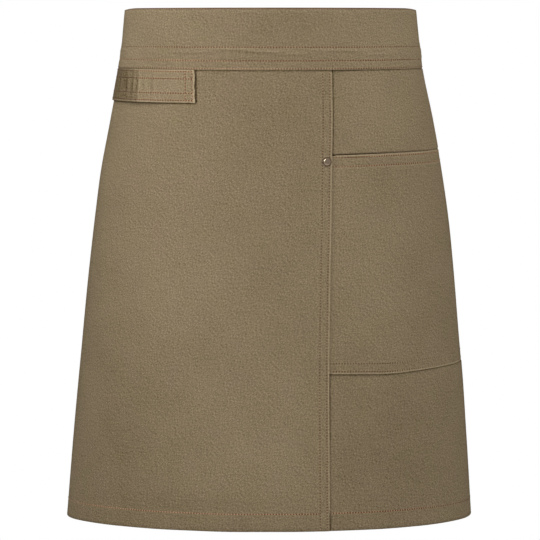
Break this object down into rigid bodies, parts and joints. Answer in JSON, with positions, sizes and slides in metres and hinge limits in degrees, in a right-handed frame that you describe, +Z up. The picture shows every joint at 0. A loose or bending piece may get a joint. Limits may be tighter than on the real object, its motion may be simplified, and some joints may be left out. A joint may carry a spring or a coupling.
{
  "type": "waist apron",
  "caption": "Khaki cotton waist apron as worn: deep folded waistband, lapped side seam, big riveted side pocket, towel loop and a tape round the back.",
  "frame": {"origin": "middle of the waist hollow, halfway up the waistband", "axes": "+Z up along the wearer's body, -Y out of the front of the apron, +X to the viewer's right"},
  "size_m": [0.4036, 0.2356, 0.5],
  "materials": {
    "cloth": "matt cotton twill, khaki, with rust-brown topstitching",
    "rivet": "antique copper"
  },
  "bodies": {
    "root": {"front_panel": "cloth", "side_panel": "cloth", "waistband": "cloth", "pocket": "cloth", "towel_loop": "cloth", "rivet_cap": "rivet", "rivet_burr": "rivet", "back_tie": "cloth"}
  },
  "joints": []
}
